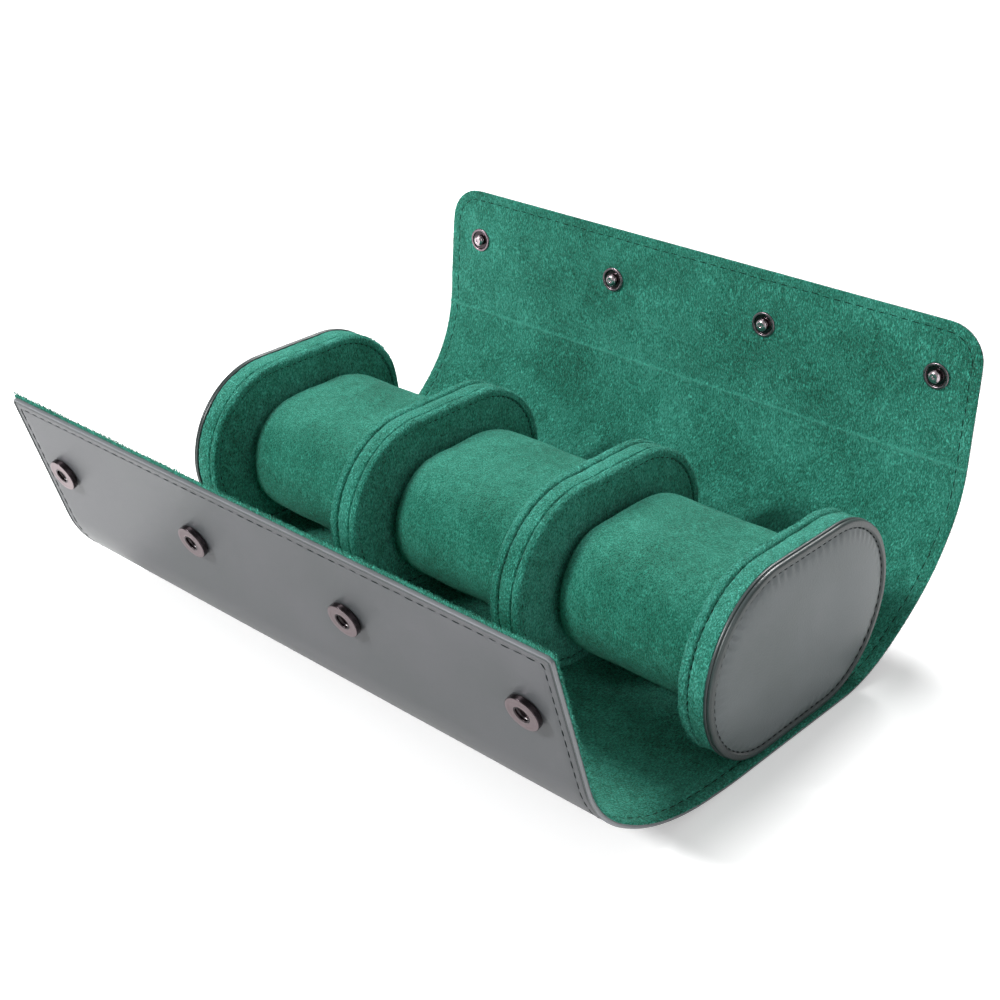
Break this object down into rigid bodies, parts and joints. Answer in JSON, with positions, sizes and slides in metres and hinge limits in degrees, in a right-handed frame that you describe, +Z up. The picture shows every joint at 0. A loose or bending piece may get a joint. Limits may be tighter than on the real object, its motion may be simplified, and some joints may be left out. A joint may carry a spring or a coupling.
{
  "type": "watch travel case",
  "caption": "Roll-up travel case: a leather wrap with suede lining closes on snaps round a tray of end walls, dividers and lift-out watch pillows.",
  "frame": {"origin": "centre of the underside of the base, on the surface that the case lies on", "axes": "+X along the case, -Y towards the front flap with the sockets, +Y towards the lid flap with the studs, +Z up"},
  "size_m": [0.25, 0.2356, 0.115],
  "materials": {
    "leather": "smooth, fine-grained dark green-grey leather with a soft gloss",
    "suede_lining": "brushed emerald microsuede",
    "suede_wall": "brushed emerald microsuede with welts and stitched seams",
    "suede_pillow": "brushed emerald microsuede over a soft filling",
    "board": "grey-brown bookbinding board",
    "filling": "pale open-cell foam",
    "snap_metal": "gunmetal plating, polished",
    "spring_wire": "bright spring wire"
  },
  "bodies": {
    "tray": {"leather_base": "leather", "board_base": "board", "lining_base": "suede_lining", "end_left_core": "board", "end_left_gusset": "suede_wall", "end_left_inner_face": "suede_wall", "end_left_leather_face": "leather", "end_left_bead": "leather", "end_right_core": "board", "end_right_gusset": "suede_wall", "end_right_inner_face": "suede_wall", "end_right_leather_face": "leather", "end_right_bead": "leather", "divider_left_core": "board", "divider_left_gusset": "suede_wall", "divider_left_faces": "suede_wall", "divider_right_core": "board", "divider_right_gusset": "suede_wall", "divider_right_faces": "suede_wall"},
    "front_bend_1": {"leather_front_bend_1": "leather", "lining_front_bend_1": "suede_lining"},
    "front_bend_2": {"leather_front_bend_2": "leather", "lining_front_bend_2": "suede_lining"},
    "front_bend_3": {"leather_front_bend_3": "leather", "lining_front_bend_3": "suede_lining"},
    "front_bend_4": {"leather_front_bend_4": "leather", "lining_front_bend_4": "suede_lining"},
    "front_panel": {"leather_front_panel": "leather", "board_front_panel": "board", "lining_front_panel": "suede_lining", "snap_sockets": "snap_metal", "snap_springs": "spring_wire", "snap_caps": "snap_metal"},
    "back_bend_1": {"leather_back_bend_1": "leather", "lining_back_bend_1": "suede_lining"},
    "back_bend_2": {"leather_back_bend_2": "leather", "lining_back_bend_2": "suede_lining"},
    "back_bend_3": {"leather_back_bend_3": "leather", "lining_back_bend_3": "suede_lining"},
    "back_bend_4": {"leather_back_bend_4": "leather", "lining_back_bend_4": "suede_lining"},
    "lid_panel": {"leather_lid_panel": "leather", "board_lid_panel": "board", "lining_lid_panel": "suede_lining", "snap_studs": "snap_metal", "snap_posts": "snap_metal"},
    "pillow_left": {"pillow_left_cover": "suede_pillow", "pillow_left_filling": "filling"},
    "pillow_middle": {"pillow_middle_cover": "suede_pillow", "pillow_middle_filling": "filling"},
    "pillow_right": {"pillow_right_cover": "suede_pillow", "pillow_right_filling": "filling"}
  },
  "joints": [
    {"name": "front_roll", "type": "hinge", "parent": "tray", "child": "front_bend_1", "pos_m": [0, -0.02883, 0.0024], "axis": [1, 0, 0], "range_deg": [-33.5, 0]},
    {"name": "front_follow_1", "type": "hinge", "parent": "front_bend_1", "child": "front_bend_2", "pos_m": [0, -0.05246, 0.00343], "axis": [1, 0, 0], "range_deg": [-26.5, 0]},
    {"name": "front_follow_2", "type": "hinge", "parent": "front_bend_2", "child": "front_bend_3", "pos_m": [0, -0.0756, 0.00835], "axis": [1, 0, 0], "range_deg": [-20, 0]},
    {"name": "front_follow_3", "type": "hinge", "parent": "front_bend_3", "child": "front_bend_4", "pos_m": [0, -0.09648, 0.01945], "axis": [1, 0, 0], "range_deg": [-10, 0]},
    {"name": "front_follow_4", "type": "hinge", "parent": "front_bend_4", "child": "front_panel", "pos_m": [0, -0.11038, 0.03859], "axis": [1, 0, 0], "range_deg": [-19, 0]},
    {"name": "back_roll", "type": "hinge", "parent": "tray", "child": "back_bend_1", "pos_m": [0, 0.02883, 0.0024], "axis": [-1, 0, 0], "range_deg": [-24, 0]},
    {"name": "back_follow_1", "type": "hinge", "parent": "back_bend_1", "child": "back_bend_2", "pos_m": [0, 0.05196, 0.00732], "axis": [-1, 0, 0], "range_deg": [-17.5, 0]},
    {"name": "back_follow_2", "type": "hinge", "parent": "back_bend_2", "child": "back_bend_3", "pos_m": [0, 0.07493, 0.02084], "axis": [-1, 0, 0], "range_deg": [-18.5, 0]},
    {"name": "back_follow_3", "type": "hinge", "parent": "back_bend_3", "child": "back_bend_4", "pos_m": [0, 0.09276, 0.04065], "axis": [-1, 0, 0], "range_deg": [-11, 0]},
    {"name": "back_follow_4", "type": "hinge", "parent": "back_bend_4", "child": "lid_panel", "pos_m": [0, 0.09968, 0.06327], "axis": [-1, 0, 0], "range_deg": [-22, 0]},
    {"name": "pillow_left_lift", "type": "slide", "parent": "tray", "child": "pillow_left", "axis": [0, 0, 1], "range_m": [0, 0.07]},
    {"name": "pillow_middle_lift", "type": "slide", "parent": "tray", "child": "pillow_middle", "axis": [0, 0, 1], "range_m": [0, 0.07]},
    {"name": "pillow_right_lift", "type": "slide", "parent": "tray", "child": "pillow_right", "axis": [0, 0, 1], "range_m": [0, 0.07]}
  ],
  "couplings": [
    {"joint": "front_follow_1", "follows": "front_roll", "ratio": 0.79104},
    {"joint": "front_follow_2", "follows": "front_roll", "ratio": 0.59701},
    {"joint": "front_follow_3", "follows": "front_roll", "ratio": 0.29851},
    {"joint": "front_follow_4", "follows": "front_roll", "ratio": 0.56716},
    {"joint": "back_follow_1", "follows": "back_roll", "ratio": 0.72917},
    {"joint": "back_follow_2", "follows": "back_roll", "ratio": 0.77083},
    {"joint": "back_follow_3", "follows": "back_roll", "ratio": 0.45833},
    {"joint": "back_follow_4", "follows": "back_roll", "ratio": 0.91667}
  ]
}
